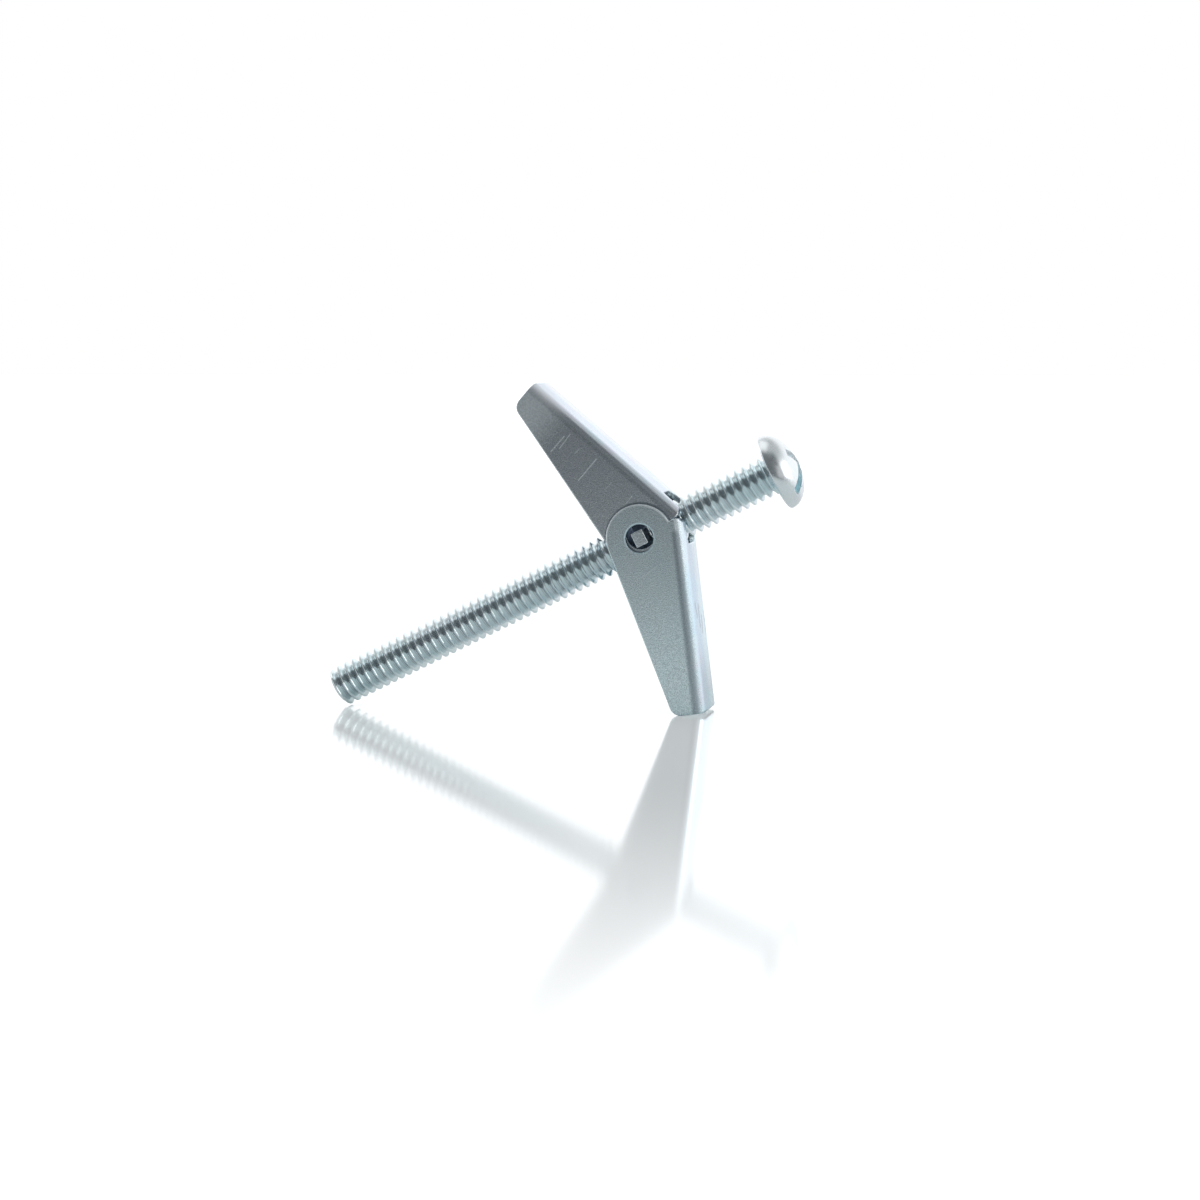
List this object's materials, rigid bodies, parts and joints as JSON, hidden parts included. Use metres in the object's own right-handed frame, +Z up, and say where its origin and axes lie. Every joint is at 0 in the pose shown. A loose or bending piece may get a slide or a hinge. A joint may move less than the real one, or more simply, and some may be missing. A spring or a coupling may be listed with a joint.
{
  "type": "spring toggle bolt",
  "caption": "Round-head machine screw with a trunnion nut and folding spring-loaded channel wings that open behind a hollow wall to hold a load.",
  "frame": {"origin": "on the floor, under the middle of the object's box as it lies at rest", "axes": "+X in plan from the screw's tip towards its head, +Y along the wings' pivot, +Z up"},
  "size_m": [0.0716, 0.0136, 0.0485],
  "materials": {
    "screw_zinc": "bright zinc plate",
    "nut_zinc": "zinc plate",
    "wing_zinc": "zinc plate with a fine pebble grain",
    "spring_wire": "drawn spring wire"
  },
  "bodies": {
    "screw": {"machine_screw": "screw_zinc"},
    "nut": {"trunnion_nut": "nut_zinc", "torsion_spring": "spring_wire"},
    "lower_wing": {"lower_wing": "wing_zinc"},
    "upper_wing": {"upper_wing": "wing_zinc"}
  },
  "joints": [
    {"name": "nut_travel", "type": "slide", "parent": "screw", "child": "nut", "axis": [0.8956, 0, 0.4449], "range_m": [-0.048, 0.0132]},
    {"name": "lower_wing_pivot", "type": "hinge", "parent": "nut", "child": "lower_wing", "pos_m": [0.01245, 0, 0.02595], "axis": [0, 1, 0], "range_deg": [0, 74.4], "stiffness_Nm_per_rad": 0.012, "springref_deg": -34.38, "deforming": ["torsion_spring"]},
    {"name": "upper_wing_pivot", "type": "hinge", "parent": "nut", "child": "upper_wing", "pos_m": [0.01245, 0, 0.02651], "axis": [0, -1, 0], "range_deg": [0, 70.8], "stiffness_Nm_per_rad": 0.012, "springref_deg": -34.38, "deforming": ["torsion_spring"]}
  ]
}
